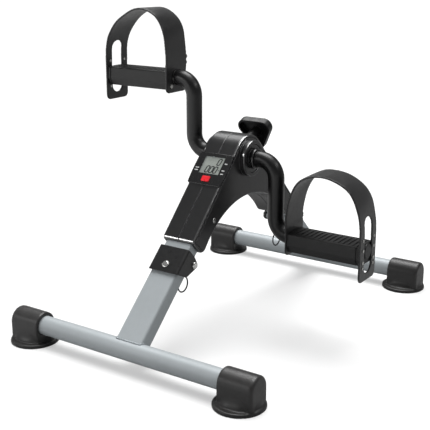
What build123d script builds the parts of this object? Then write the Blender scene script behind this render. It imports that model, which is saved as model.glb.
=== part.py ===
from build123d import *
from math import asin, atan2, cos, hypot, radians, sin, sqrt
import os

# Folding pedal exerciser: two floor bars, an inverted-V frame in a plastic
# housing, a cranked tube with two strapped pedals, a brake knob and a console.
# Frame: origin on the floor midway between the floor bars, +X to the right-hand
# pedal, -Y to the user (front), +Z up.  Millimetres.

os.makedirs("parts", exist_ok=True)

# ======================================================== DRIVING DIMENSIONS
# floor bars
BAR_Y, BAR_Z, BAR_R, BAR_WALL = 233.35, 25.4, 12.7, 1.5
BAR_HALF = 184.0

# leg line: angle above the floor, box-section tube
LEG_ANGLE = 43.31
LEG_COS, LEG_SIN = cos(radians(LEG_ANGLE)), sin(radians(LEG_ANGLE))
POST_W, POST_D, POST_WALL = 40.0, 20.0, 1.6

# folding joint, as depth behind and distance along the leg line
HINGE_SPOT = (11.0, 136.0)
BRACKET_IN, BRACKET_OUT = 20.25, 23.25
BRACKET_FRONT, BRACKET_WEB = -13.25, -10.25

# lock pin: distance along the leg, radii, and tip depth
PIN_ALONG, PIN_R, PIN_TIP, NOSE_R = 118.2, 4.0, -11.0, 5.9
NOSE_CENTRE = PIN_TIP + NOSE_R

# crank
AXLE_Z, CRANK_R, CRANK_TUBE_R, CRANK_BORE_R = 229.2, 100.0, 11.1, 9.1
CRANK_END = 94.0
CRANK_CLEAR = 0.06
PEDAL_IN, PEDAL_OUT = 99.1, 203.9
RIGHT_Z = AXLE_Z - CRANK_R
LEFT_LIFT = 2 * CRANK_R

# housing
HALF_W = 25.0
DOME_R, DOME_Z = 36.0, 225.0
SLOPE_Y, SLOPE_Z = -130.9, 141.2
SCREW_Y, SCREW_Z = 83.5, 160.3
SCREW_SPOTS = [(SCREW_Y, SCREW_Z), (-SCREW_Y, SCREW_Z)]

# brake axis: through the axle, rising to the rear at this angle
KNOB_TILT = radians(23.0)
KNOB_DIR = (0, cos(KNOB_TILT), sin(KNOB_TILT))

# console panel and its case, as distances up the front slope
PANEL_LOW, PANEL_HIGH, PANEL_HALF = 85.0, 134.0, 26.0
PANEL_MID = (PANEL_LOW + PANEL_HIGH) / 2
CASE_LOW, CASE_HIGH, CASE_W = 87.5, 132.0, 45.0
CASE_MID, CASE_L = (CASE_LOW + CASE_HIGH) / 2, CASE_HIGH - CASE_LOW

# X of the speed magnet, the sensor and its lead
SENSOR_X = 10.6


# ==================================================================== PLANES
def leg_point(depth, along):
    """Front leg: along is up the leg from the bar centre, depth is inwards and down."""
    return (
        0,
        -BAR_Y + along * LEG_COS + depth * LEG_SIN,
        BAR_Z + along * LEG_SIN - depth * LEG_COS,
    )


UP_LEG = (0, LEG_COS, LEG_SIN)
INTO_LEG = (0, LEG_SIN, -LEG_COS)
RIGHT = (1, 0, 0)

FRONT_LEG = Plane(origin=(0, -BAR_Y, BAR_Z), x_dir=RIGHT, z_dir=UP_LEG)
REAR_LEG = Plane(origin=(0, BAR_Y, BAR_Z), x_dir=RIGHT, z_dir=(0, -LEG_COS, LEG_SIN))
# side view of the front leg: sketch x is depth, sketch y is along
FRONT_SIDE = Plane(origin=(0, -BAR_Y, BAR_Z), x_dir=INTO_LEG, z_dir=RIGHT)
PIN_AXIS = Plane(origin=leg_point(0, PIN_ALONG), x_dir=RIGHT, z_dir=INTO_LEG)
AXLE_SIDE = Plane(origin=(0, 0, AXLE_Z), x_dir=(0, 1, 0), z_dir=RIGHT)
PEDAL_SIDE = Plane(origin=(0, 0, RIGHT_Z), x_dir=(0, 1, 0), z_dir=RIGHT)
PEDAL_FRONT = Plane(origin=(0, 0, RIGHT_Z), x_dir=RIGHT, z_dir=(0, -1, 0))
KNOB_AXIS = Plane(origin=(0, 0, AXLE_Z), x_dir=RIGHT, z_dir=KNOB_DIR)


def slope_tangent():
    """Direction of the front slope and the point where it touches the dome."""
    to_y, to_z = -SLOPE_Y, DOME_Z - SLOPE_Z
    distance = hypot(to_y, to_z)
    angle = atan2(to_z, to_y) + asin(DOME_R / distance)
    length = sqrt(distance**2 - DOME_R**2)
    return (
        cos(angle),
        sin(angle),
        SLOPE_Y + length * cos(angle),
        SLOPE_Z + length * sin(angle),
    )


SLOPE_COS, SLOPE_SIN, TANGENT_Y, TANGENT_Z = slope_tangent()
CONSOLE = Plane(
    origin=(0, SLOPE_Y + PANEL_MID * SLOPE_COS, SLOPE_Z + PANEL_MID * SLOPE_SIN),
    x_dir=RIGHT,
    z_dir=(0, -SLOPE_SIN, SLOPE_COS),
)


def on_slope(distance):
    """Console sketch y of a point this far up the slope."""
    return distance - PANEL_MID


# =================================================================== HELPERS
def at_height(plane, height, tolerance):
    """Edge test: the centre lies this high above the plane."""
    return lambda edge: (
        abs((edge.center() - plane.origin).dot(plane.z_dir) - height) < tolerance
    )


def mirrored(part, about, lift=0):
    """Copy of the part, raised by lift and mirrored."""
    with BuildPart() as copy:
        mirror(part.moved(Location((0, 0, lift))), about=about)
    return copy.part


def paired(part, about, lift=0):
    """The part together with its raised and mirrored copy."""
    with BuildPart() as pair:
        add(part)
        mirror(part.moved(Location((0, 0, lift))), about=about)
    return pair.part


def save(name, part):
    part.label = name
    export_step(part, f"parts/{name}.step")


# ====================================================================== LEGS
POST_START, POST_TOP = 4.0, 135.5
SLEEVE_R, SLEEVE_BORE = 5.0, 3.1

FOOT_IN, FOOT_OUT, FOOT_R, FOOT_BASE = 141.5, 189.3, 17.6, 2.0
FOOT_DISC_R, FOOT_DISC_X, FOOT_DISC_H = 32.1, 162.4, 4.5
FOOT_POCKET_END_GAP = 0.3

# depths along the pin axis, from the leg line
BARREL_END, BARREL_LID = 27.0, 1.2
BARREL_R, BARREL_BORE, BARREL_LID_BORE = 6.5, 5.5, 3.1
PIN_SHOULDER, PIN_END = 12.5, 31.6
LAND_R, LAND_L, STEM_R, PIN_CHAMFER = 5.2, 2.4, 3.0, 0.8

SPRING_WIRE_R, SPRING_R, SPRING_PITCH = 0.5, 4.3, 1.35
SPRING_H = 3 * SPRING_PITCH
SPRING_END_GAP = 0.55

RING_DEPTH, RING_R, RING_WIRE_R, EYE_R = 29.0, 10.4, 1.0, 1.45


def make_base_tube():
    """Round floor bar."""
    with BuildPart() as tube:
        with BuildSketch(Plane.YZ.offset(-BAR_HALF)):
            with Locations((-BAR_Y, BAR_Z)):
                Circle(BAR_R)
                Circle(BAR_R - BAR_WALL, mode=Mode.SUBTRACT)
        extrude(amount=2 * BAR_HALF)
    return tube.part


def make_lower_post():
    """Box tube coped on to the bar, notched for the sleeve, drilled for the pin."""
    with BuildPart() as post:
        with BuildSketch(FRONT_LEG.offset(POST_START)):
            RectangleRounded(POST_W, POST_D, 3)
            RectangleRounded(
                POST_W - 2 * POST_WALL,
                POST_D - 2 * POST_WALL,
                3 - POST_WALL,
                mode=Mode.SUBTRACT,
            )
        extrude(amount=POST_TOP - POST_START)
        with BuildSketch(Plane.YZ.offset(-30)):
            with Locations((-BAR_Y, BAR_Z)):
                Circle(BAR_R + 0.01)
        extrude(amount=60, mode=Mode.SUBTRACT)
        with BuildSketch(FRONT_SIDE.offset(-25)):
            with Locations(HINGE_SPOT):
                Circle(SLEEVE_R + 0.02)
        extrude(amount=50, mode=Mode.SUBTRACT)
        with BuildSketch(PIN_AXIS.offset(-12)):
            Circle(PIN_R + 0.1)
        extrude(amount=24, mode=Mode.SUBTRACT)
    return post.part


def make_hinge_sleeve():
    """Sleeve in the notch at the post's upper rear corner."""
    with BuildPart() as sleeve:
        with BuildSketch(FRONT_SIDE.offset(-POST_W / 2)):
            with Locations(HINGE_SPOT):
                Circle(SLEEVE_R)
                Circle(SLEEVE_BORE, mode=Mode.SUBTRACT)
        extrude(amount=POST_W)
    return sleeve.part


def make_right_foot():
    """Arched cap over the right-hand bar end, on a round floor disc."""
    with BuildPart() as foot:
        with BuildSketch(Plane.YZ.offset(FOOT_IN)):
            with Locations((-BAR_Y, BAR_Z)):
                Circle(FOOT_R)
            with Locations((-BAR_Y, (BAR_Z + FOOT_BASE) / 2)):
                Rectangle(2 * FOOT_R, BAR_Z - FOOT_BASE)
        extrude(amount=FOOT_OUT - FOOT_IN)
        # outer end first, then the inner end
        for end, radius in ((-1, 4), (0, 1.6)):
            fillet(
                foot.faces().sort_by(Axis.X)[end].edges().filter_by(
                    lambda e: e.center().Z > FOOT_BASE
                ),
                radius=radius,
            )
        with BuildSketch(Plane.XY):
            with Locations((FOOT_DISC_X, -BAR_Y)):
                Circle(FOOT_DISC_R)
        extrude(amount=FOOT_DISC_H)
        fillet(
            foot.edges().filter_by(
                lambda e: abs(e.center().Z - FOOT_DISC_H) < 0.01
                and e.geom_type == GeomType.CIRCLE
                and e.radius > 30
            ),
            radius=1.8,
        )
        # pocket for the bar end
        with BuildSketch(Plane.YZ.offset(FOOT_IN - 1)):
            with Locations((-BAR_Y, BAR_Z)):
                Circle(BAR_R + 0.02)
        extrude(amount=BAR_HALF - FOOT_IN + 1 + FOOT_POCKET_END_GAP, mode=Mode.SUBTRACT)
    return foot.part


def make_pin_barrel():
    """Barrel behind the post that guides the lock pin and holds its spring."""
    with BuildPart() as barrel:
        with BuildSketch(PIN_AXIS.offset(POST_D / 2)):
            Circle(BARREL_R)
            Circle(BARREL_BORE, mode=Mode.SUBTRACT)
        extrude(amount=BARREL_END - BARREL_LID - POST_D / 2)
        with BuildSketch(PIN_AXIS.offset(BARREL_END - BARREL_LID)):
            Circle(BARREL_R)
            Circle(BARREL_LID_BORE, mode=Mode.SUBTRACT)
        extrude(amount=BARREL_LID)
        fillet(barrel.faces().sort_by(Axis.Z)[0].outer_wire().edges(), radius=0.8)
    return barrel.part


def make_pin_spring():
    """Pin spring, closed up near the barrel's end wall."""
    base = PIN_AXIS.offset(BARREL_END - BARREL_LID - SPRING_END_GAP - SPRING_H)
    helix = Helix(pitch=SPRING_PITCH, height=SPRING_H, radius=SPRING_R)
    path = base.location * helix
    with BuildPart() as spring:
        with BuildSketch(Plane(origin=path @ 0, z_dir=path % 0)):
            Circle(SPRING_WIRE_R)
        sweep(path=path, is_frenet=True)
    return spring.part


def make_lock_pin():
    """Spring plunger: spherical nose, guide land, thinner stem, flattened eye."""
    nose_edge = NOSE_CENTRE - sqrt(NOSE_R**2 - PIN_R**2)
    arc_angle = 0.36
    centre = leg_point(0, PIN_ALONG)
    with BuildPart() as pin:
        with BuildSketch(Plane(origin=centre, x_dir=INTO_LEG, z_dir=RIGHT)):
            with BuildLine():
                ThreePointArc(
                    (PIN_TIP, 0),
                    (NOSE_CENTRE - NOSE_R * cos(arc_angle), NOSE_R * sin(arc_angle)),
                    (nose_edge, PIN_R),
                )
                Polyline(
                    (nose_edge, PIN_R),
                    (PIN_SHOULDER - LAND_L, PIN_R),
                    (PIN_SHOULDER - LAND_L, LAND_R),
                    (PIN_SHOULDER, LAND_R),
                    (PIN_SHOULDER, STEM_R),
                    (PIN_END - PIN_CHAMFER, STEM_R),
                    (PIN_END, STEM_R - PIN_CHAMFER),
                    (PIN_END, 0),
                    (PIN_TIP, 0),
                )
            make_face()
        revolve(axis=Axis(centre, INTO_LEG))
        # flats and cross hole for the pull ring
        with BuildSketch(PIN_AXIS.offset(BARREL_END + 0.4)):
            with Locations((0, 4.0), (0, -4.0)):
                Rectangle(8, 4.0)
        extrude(amount=6, mode=Mode.SUBTRACT)
        eye_start = leg_point(RING_DEPTH, PIN_ALONG - 6)
        with BuildSketch(Plane(origin=eye_start, x_dir=RIGHT, z_dir=UP_LEG)):
            Circle(EYE_R)
        extrude(amount=12, mode=Mode.SUBTRACT)
    return pin.part


def make_pull_ring():
    """Ring through the lock pin's eye."""
    centre = leg_point(RING_DEPTH + RING_R, PIN_ALONG)
    with BuildPart(Plane(origin=centre, x_dir=INTO_LEG, z_dir=RIGHT)) as ring:
        Torus(RING_R, RING_WIRE_R)
    return ring.part


# ============================================================== FOLD BRACKET
BOLT_R, BOLT_HEAD_R = 3.0, 4.9
BOLT_SHANK_END, BOLT_HEAD_H, NUT_H = 25.4, 3.1, 3.4
STRIKER_HEAD_R, STRIKER_HEAD_H, STRIKER_R = 4.9, 2.5, 4.03
DIMPLE_R = NOSE_R + 0.12

# side outline of the bracket: (depth, along) on the leg
BRACKET_KNEE = (8.2, 115.7)
BRACKET_OUTLINE = [
    (BRACKET_FRONT, 107.6),
    BRACKET_KNEE,
    (20.4, 140.3),
    (3.9, 144.5),
    (BRACKET_FRONT, 144.5),
]


def make_bracket():
    """Channel around the leg, its web on the user's side."""
    with BuildPart() as bracket:
        with BuildSketch(FRONT_SIDE.offset(-BRACKET_OUT)) as side:
            with BuildLine():
                Polyline(*BRACKET_OUTLINE, close=True)
            make_face()
            fillet(side.vertices().sort_by(Axis.X)[-1], radius=6.5)
            fillet(
                side.vertices().filter_by(
                    lambda v: abs(v.X - BRACKET_KNEE[0]) < 0.01
                    and abs(v.Y - BRACKET_KNEE[1]) < 0.01
                ),
                radius=3,
            )
        extrude(amount=2 * BRACKET_OUT)
        # long outer edges of the web
        on_front = at_height(PIN_AXIS, BRACKET_FRONT, 0.05)
        fillet(
            bracket.edges().filter_by(
                lambda e: e.geom_type == GeomType.LINE
                and abs(e.tangent_at(0).X) < 0.01
                and e.length > 30
                and on_front(e)
            ),
            radius=3.2,
        )
        with BuildSketch(FRONT_LEG.offset(95)):
            with BuildLine():
                Polyline(
                    (-BRACKET_IN, BRACKET_WEB),
                    (BRACKET_IN, BRACKET_WEB),
                    (BRACKET_IN, 30),
                    (-BRACKET_IN, 30),
                    close=True,
                )
            make_face()
        extrude(amount=60, mode=Mode.SUBTRACT)
        with BuildSketch(FRONT_SIDE.offset(-30)):
            with Locations(HINGE_SPOT):
                Circle(BOLT_R + 0.03)
        extrude(amount=60, mode=Mode.SUBTRACT)
        with BuildSketch(PIN_AXIS.offset(-20)):
            Circle(STRIKER_R + 0.02)
        extrude(amount=12, mode=Mode.SUBTRACT)
    return bracket.part


def make_front_bolt():
    """Hinge bolt with a low domed head on the right."""
    with BuildPart() as bolt:
        with BuildSketch(FRONT_SIDE.offset(-BRACKET_OUT)):
            with Locations(HINGE_SPOT):
                Circle(BOLT_R)
        extrude(amount=BRACKET_OUT + BOLT_SHANK_END)
        with BuildSketch(FRONT_SIDE.offset(BRACKET_OUT)):
            with Locations(HINGE_SPOT):
                Circle(BOLT_HEAD_R)
        extrude(amount=BOLT_HEAD_H)
        fillet(bolt.faces().sort_by(Axis.X)[-1].edges(), radius=2.0)
    return bolt.part


def make_front_nut():
    """Domed nut on the left end of the hinge bolt."""
    with BuildPart() as nut:
        with BuildSketch(FRONT_SIDE.offset(-BRACKET_OUT - NUT_H)):
            with Locations(HINGE_SPOT):
                Circle(BOLT_HEAD_R)
        extrude(amount=NUT_H)
        fillet(nut.faces().sort_by(Axis.X)[0].edges(), radius=2.2)
    return nut.part


def make_front_striker():
    """Domed rivet in the bracket web, dimpled inside for the lock pin's nose."""
    with BuildPart() as striker:
        with BuildSketch(PIN_AXIS.offset(BRACKET_FRONT - STRIKER_HEAD_H)):
            Circle(STRIKER_HEAD_R)
        extrude(amount=STRIKER_HEAD_H)
        fillet(striker.faces().sort_by(Axis.Y)[0].edges(), radius=1.9)
        with BuildSketch(PIN_AXIS.offset(BRACKET_FRONT)):
            Circle(STRIKER_R)
        extrude(amount=BRACKET_WEB - BRACKET_FRONT)
        with Locations(PIN_AXIS.offset(NOSE_CENTRE).location):
            Sphere(DIMPLE_R, mode=Mode.SUBTRACT)
    return striker.part


right_foot = make_right_foot()
leg_parts = {
    "base_tube": make_base_tube(),
    "lower_post": make_lower_post(),
    "hinge_sleeve": make_hinge_sleeve(),
    "right_foot": right_foot,
    "left_foot": mirrored(right_foot, Plane.YZ),
    "pin_barrel": make_pin_barrel(),
    "pin_spring": make_pin_spring(),
    "lock_pin": make_lock_pin(),
    "pull_ring": make_pull_ring(),
    "bracket": make_bracket(),
}
for name, part in leg_parts.items():
    save(f"front_{name}", part)
    save(f"rear_{name}", mirrored(part, Plane.XZ))

save("hinge_bolts", paired(make_front_bolt(), Plane.XZ))
save("hinge_nuts", paired(make_front_nut(), Plane.XZ))
save("lock_strikers", paired(make_front_striker(), Plane.XZ))

# =============================================================== UPPER FRAME
STUB_START, STUB_END = 137.0, 335.0
CROWN_R, CROWN_CORE_R = 33.0, 31.2
AXLE_RING_R, BUSH_R, RING_IN = 18.0, 14.0, 12.8
BRAKE_GUIDE_R = 9.0


def leg_band(depth_0, depth_1, along_0, along_1, side):
    """(y, z) corners of a band along the front (side -1) or rear (side 1) leg line."""
    corners = [
        leg_point(depth, along)
        for depth, along in (
            (depth_0, along_0),
            (depth_1, along_0),
            (depth_1, along_1),
            (depth_0, along_1),
        )
    ]
    return [(-side * y, z) for _, y, z in corners]


def vee_sketch(half_depth, start, end, crown_r):
    """Side view of the inverted V, its top rounded to the crown radius."""
    with BuildSketch(Plane.YZ) as vee:
        for side in (-1, 1):
            with BuildLine():
                Polyline(*leg_band(-half_depth, half_depth, start, end, side), close=True)
            make_face()
        with BuildSketch(mode=Mode.SUBTRACT):
            with Locations((0, DOME_Z + 45)):
                Rectangle(60, 50)
            with Locations((0, DOME_Z)):
                Circle(crown_r, mode=Mode.SUBTRACT)
    return vee.sketch


def make_upper_frame():
    """Two box-tube stubs joined in an inverted V, with two axle rings."""
    outline = vee_sketch(POST_D / 2, STUB_START, STUB_END, CROWN_R)
    core = vee_sketch(POST_D / 2 - POST_WALL, STUB_START - 5, STUB_END - 3, CROWN_CORE_R)
    with BuildPart() as frame:
        extrude(to_extrude=outline, amount=POST_W / 2, both=True)
        fillet(
            frame.edges().filter_by(
                lambda e: e.geom_type == GeomType.LINE
                and abs(abs(e.center().X) - POST_W / 2) < 0.01
                and e.length > 80
            ),
            radius=2.6,
        )
        extrude(
            to_extrude=core,
            amount=POST_W / 2 - POST_WALL,
            both=True,
            mode=Mode.SUBTRACT,
        )
        # relief beside the hinge sleeves
        with BuildSketch(Plane.YZ):
            for side in (-1, 1):
                with BuildLine():
                    Polyline(*leg_band(4, 14, STUB_START - 2, 142.8, side), close=True)
                make_face()
        extrude(amount=30, both=True, mode=Mode.SUBTRACT)
        # axle rings
        with BuildSketch(AXLE_SIDE.offset(RING_IN), AXLE_SIDE.offset(-POST_W / 2)):
            Circle(AXLE_RING_R)
        extrude(amount=POST_W / 2 - RING_IN)
        # window between the rings for the brake and the magnet
        with BuildSketch(AXLE_SIDE):
            Circle(18.6)
        extrude(amount=RING_IN, both=True, mode=Mode.SUBTRACT)
        # larger window on the front side for the lead
        with BuildSketch(AXLE_SIDE):
            Circle(26)
            with Locations((26, 0)):
                Rectangle(56, 60, mode=Mode.SUBTRACT)
        extrude(amount=RING_IN, both=True, mode=Mode.SUBTRACT)
        with BuildSketch(AXLE_SIDE):
            Circle(BUSH_R + 0.02)
        extrude(amount=30, both=True, mode=Mode.SUBTRACT)
        with BuildSketch(KNOB_AXIS.offset(12)):
            Circle(BRAKE_GUIDE_R + 0.02)
        extrude(amount=24, mode=Mode.SUBTRACT)
        with BuildSketch(Plane.YZ):
            with Locations(*SCREW_SPOTS):
                Circle(1.7)
        extrude(amount=30, both=True, mode=Mode.SUBTRACT)
    return frame.part


save("upper_frame", make_upper_frame())

# =================================================================== HOUSING
WALL, SEAM = 2.6, 0.2
HEEL_Y, HEEL_Z, ARCH_Z = 108.5, 117.6, 177.0
BOSS_R, BOSS_RECESS_R, BOSS_H = 25.0, 19.6, 8.0
GROOVE_OUT, GROOVE_IN, GROOVE_DEPTH = 3.3, 4.6, 1.5
# the groove stops this far above a circle that follows the arch
GROOVE_ARCH_R, GROOVE_ARCH_GAP = 129.04, 8.0
CONSOLE_GAP, STUB_GAP = 0.4, 0.5

SCREW_R, SCREW_HEAD_R, SCREW_HEAD_X, SCREW_TIP_X = 1.6, 3.2, HALF_W - 1.35, 15.0
DRIVE_L, DRIVE_W = 3.4, 0.7
CAP_RIM_X, CAP_HUB_R = HALF_W + 7, 14.0


def make_shell_profile():
    """Side outline: dome, two slopes, heels and the arch between them."""
    with BuildSketch(Plane.YZ) as profile:
        with BuildLine():
            Line((SLOPE_Y, SLOPE_Z), (TANGENT_Y, TANGENT_Z))
            ThreePointArc(
                (TANGENT_Y, TANGENT_Z), (0, DOME_Z + DOME_R), (-TANGENT_Y, TANGENT_Z)
            )
            Line((-TANGENT_Y, TANGENT_Z), (-SLOPE_Y, SLOPE_Z))
            Line((-SLOPE_Y, SLOPE_Z), (HEEL_Y, HEEL_Z))
            ThreePointArc((HEEL_Y, HEEL_Z), (0, ARCH_Z), (-HEEL_Y, HEEL_Z))
            Line((-HEEL_Y, HEEL_Z), (SLOPE_Y, SLOPE_Z))
        make_face()
        fillet(profile.vertices().group_by(Axis.Y)[0], radius=9.5)
        fillet(profile.vertices().sort_by(Axis.X)[0], radius=4.5)
        fillet(profile.vertices().sort_by(Axis.X)[-1], radius=4.5)
    return profile


def make_cavity(profile):
    with BuildSketch(Plane.YZ) as cavity:
        add(profile.sketch_local)
        offset(amount=-WALL, mode=Mode.REPLACE)
    return cavity.sketch


def make_groove(profile):
    """Band just inside the outline, left out along the arch."""
    with BuildSketch(Plane.YZ.offset(HALF_W)) as groove:
        add(profile.sketch_local)
        offset(amount=-GROOVE_OUT, mode=Mode.REPLACE)
        with BuildSketch(mode=Mode.SUBTRACT):
            add(profile.sketch_local)
            offset(amount=-GROOVE_IN, mode=Mode.REPLACE)
        with Locations((0, ARCH_Z - GROOVE_ARCH_R)):
            Circle(GROOVE_ARCH_R + GROOVE_ARCH_GAP, mode=Mode.SUBTRACT)
    return groove.sketch


def make_right_housing():
    profile = make_shell_profile()
    cavity = make_cavity(profile)
    groove = make_groove(profile)
    with BuildPart() as shell:
        extrude(
            to_extrude=profile.sketch.moved(Location((SEAM, 0, 0))),
            amount=HALF_W - SEAM,
        )
        fillet(shell.faces().sort_by(Axis.X)[-1].outer_wire().edges(), radius=2.5)
        # small chamfer that makes the centre seam a V-groove
        chamfer(shell.faces().sort_by(Axis.X)[0].outer_wire().edges(), length=0.55)
        extrude(to_extrude=cavity, amount=HALF_W - WALL, mode=Mode.SUBTRACT)
        extrude(to_extrude=groove, amount=-GROOVE_DEPTH, mode=Mode.SUBTRACT)
        # raised ring around the axle
        with BuildSketch(AXLE_SIDE.offset(HALF_W - 0.5)):
            Circle(BOSS_R)
        extrude(amount=BOSS_H + 0.5)
        fillet(shell.faces().sort_by(Axis.X)[-1].edges(), radius=1.4)
        with BuildSketch(AXLE_SIDE.offset(HALF_W)):
            Circle(BOSS_RECESS_R)
        extrude(amount=10, mode=Mode.SUBTRACT)
        with BuildSketch(AXLE_SIDE.offset(15)):
            Circle(BUSH_R + 0.2)
        extrude(amount=20, mode=Mode.SUBTRACT)
        # lower ends fit around the tube stubs
        with BuildSketch(FRONT_LEG.offset(148), REAR_LEG.offset(148)):
            Rectangle(POST_W + STUB_GAP, POST_D + STUB_GAP)
        extrude(amount=14, mode=Mode.SUBTRACT)
        # console opening in the front slope
        with BuildSketch(CONSOLE.offset(-12)):
            with Locations((0, on_slope(CASE_MID))):
                Rectangle(CASE_W + CONSOLE_GAP, CASE_L + CONSOLE_GAP)
        extrude(amount=16, mode=Mode.SUBTRACT)
        # brake screw clearance in the rear slope
        with BuildSketch(KNOB_AXIS.offset(24)):
            Circle(5.2)
        extrude(amount=16, mode=Mode.SUBTRACT)
        # screw holes with sunk heads
        with BuildSketch(Plane.YZ.offset(15)):
            with Locations(*SCREW_SPOTS):
                Circle(1.9)
        extrude(amount=15, mode=Mode.SUBTRACT)
        with BuildSketch(Plane.YZ.offset(HALF_W - 1.4)):
            with Locations(*SCREW_SPOTS):
                Circle(3.7)
        extrude(amount=5, mode=Mode.SUBTRACT)
    return shell.part


def make_right_screws():
    """Cross-head screws through the right shell into the tube wall."""
    with BuildPart() as screws:
        with BuildSketch(Plane.YZ.offset(SCREW_TIP_X)):
            with Locations(*SCREW_SPOTS):
                Circle(SCREW_R)
        extrude(amount=SCREW_HEAD_X - SCREW_TIP_X)
        with BuildSketch(Plane.YZ.offset(SCREW_HEAD_X)):
            with Locations(*SCREW_SPOTS):
                Circle(SCREW_HEAD_R)
        extrude(amount=1.9)
        fillet(screws.faces().filter_by(Axis.X).sort_by(Axis.X)[-2:].edges(), radius=0.9)
        with BuildSketch(Plane.YZ.offset(HALF_W - 0.3)):
            with Locations(*SCREW_SPOTS):
                Rectangle(DRIVE_L, DRIVE_W, rotation=30)
                Rectangle(DRIVE_W, DRIVE_L, rotation=30)
        extrude(amount=2, mode=Mode.SUBTRACT)
    return screws.part


def make_right_bush():
    """Flanged crank bush in the right axle ring."""
    # start along X, radius, length
    steps = [
        (RING_IN + 0.1, BUSH_R, POST_W / 2 - RING_IN),
        (POST_W / 2 + 0.02, 17.0, 2.1),
        (POST_W / 2 + 2.1, 13.9, 2.9),
    ]
    with BuildPart() as bush:
        for start, radius, length in steps:
            with BuildSketch(AXLE_SIDE.offset(start)):
                Circle(radius)
            extrude(amount=length)
        with BuildSketch(AXLE_SIDE):
            Circle(CRANK_TUBE_R + CRANK_CLEAR)
        extrude(amount=40, mode=Mode.SUBTRACT)
    return bush.part


def make_right_cap():
    """Stepped cap that closes the shell around the crank."""
    with BuildPart() as cap:
        with BuildSketch(AXLE_SIDE.offset(HALF_W + 0.05)):
            Circle(BOSS_RECESS_R - 0.2)
        extrude(amount=7.3)
        fillet(cap.faces().sort_by(Axis.X)[-1].edges(), radius=1.0)
        with BuildSketch(AXLE_SIDE.offset(CAP_RIM_X)):
            Circle(CAP_HUB_R)
        extrude(amount=7)
        fillet(cap.faces().sort_by(Axis.X)[-1].edges(), radius=1.6)
        # hollow inside, then the crank hole
        for radius, length in ((17.8, 10.4), (CRANK_TUBE_R + 0.5, 25)):
            with BuildSketch(AXLE_SIDE.offset(20)):
                Circle(radius)
            extrude(amount=length, mode=Mode.SUBTRACT)
    return cap.part


right_housing = make_right_housing()
save("right_housing", right_housing)
save("left_housing", mirrored(right_housing, Plane.YZ))
save("housing_screws", paired(make_right_screws(), Plane.YZ))
save("crank_bushes", paired(make_right_bush(), Plane.YZ))
save("boss_caps", paired(make_right_cap(), Plane.YZ))

# ===================================================================== BRAKE
# starts and ends are distances from the axle along the brake axis
GUIDE_START, GUIDE_H, GUIDE_BORE = 15.6, 5.8, 6.1
BRAKE_NUT_H, BRAKE_NUT_R = 4.0, 7.4
SHOE_START, SHOE_BACK, SHOE_R = 9.0, 19.4, 6.0
BRAKE_TRAVEL = 2.5
TENSION_R, TENSION_START, TENSION_TOP = 4.0, SHOE_BACK + 0.02, 64.9
KNOB_BASE, KNOB_H, KNOB_LOBE, KNOB_LOBE_R = 57.5, 13.3, 16.1, 11.6
KNOB_WALL, KNOB_STEM_START, KNOB_STEM_R = 2.8, 43.4, 7.5


def make_brake_guide():
    with BuildPart() as guide:
        with BuildSketch(KNOB_AXIS.offset(GUIDE_START)):
            Circle(BRAKE_GUIDE_R)
            Circle(GUIDE_BORE, mode=Mode.SUBTRACT)
        extrude(amount=GUIDE_H)
    return guide.part


def make_brake_nut():
    with BuildPart() as nut:
        with BuildSketch(KNOB_AXIS.offset(GUIDE_START + GUIDE_H)):
            RegularPolygon(radius=BRAKE_NUT_R, side_count=6)
            Circle(TENSION_R + 0.05, mode=Mode.SUBTRACT)
        extrude(amount=BRAKE_NUT_H)
    return nut.part


def make_brake_shoe():
    """Round block hollowed to the crank tube, drawn backed off by its travel."""
    with BuildPart() as shoe:
        with BuildSketch(KNOB_AXIS.offset(SHOE_START)):
            Circle(SHOE_R)
        extrude(amount=SHOE_BACK - SHOE_START)
        with BuildSketch(AXLE_SIDE.offset(-15)):
            with Locations((BRAKE_TRAVEL * KNOB_DIR[1], BRAKE_TRAVEL * KNOB_DIR[2])):
                Circle(CRANK_TUBE_R + CRANK_CLEAR)
        extrude(amount=30, mode=Mode.SUBTRACT)
    return shoe.part


def make_tension_screw():
    with BuildPart() as screw:
        with BuildSketch(KNOB_AXIS.offset(TENSION_START)):
            Circle(TENSION_R)
        extrude(amount=TENSION_TOP - TENSION_START)
        chamfer(screw.edges().filter_by(GeomType.CIRCLE).sort_by(Axis.Y)[0], length=0.8)
    return screw.part


def make_tension_knob():
    """Hollow three-lobed knob on a round stem."""
    with BuildPart() as knob:
        with BuildSketch(KNOB_AXIS.offset(KNOB_BASE)):
            with PolarLocations(KNOB_LOBE, 3, start_angle=90):
                Circle(KNOB_LOBE_R)
            make_hull()
        extrude(amount=KNOB_H)
        for height, radius in ((KNOB_BASE + KNOB_H, 3.6), (KNOB_BASE, 1.0)):
            fillet(
                knob.edges().filter_by(at_height(KNOB_AXIS, height, 0.05)),
                radius=radius,
            )
        with BuildSketch(KNOB_AXIS.offset(KNOB_BASE - 0.1)):
            with PolarLocations(KNOB_LOBE, 3, start_angle=90):
                Circle(KNOB_LOBE_R - KNOB_WALL)
            make_hull()
        extrude(amount=7.5, mode=Mode.SUBTRACT)
        with BuildSketch(KNOB_AXIS.offset(KNOB_STEM_START)):
            Circle(KNOB_STEM_R)
        extrude(amount=KNOB_BASE + 9 - KNOB_STEM_START)
        with BuildSketch(KNOB_AXIS.offset(40)):
            Circle(TENSION_R + 0.02)
        extrude(amount=TENSION_TOP + 0.02 - 40, mode=Mode.SUBTRACT)
    return knob.part


save("brake_guide", make_brake_guide())
save("brake_nut", make_brake_nut())
save("brake_shoe", make_brake_shoe())
save("tension_screw", make_tension_screw())
save("tension_knob", make_tension_knob())

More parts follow.
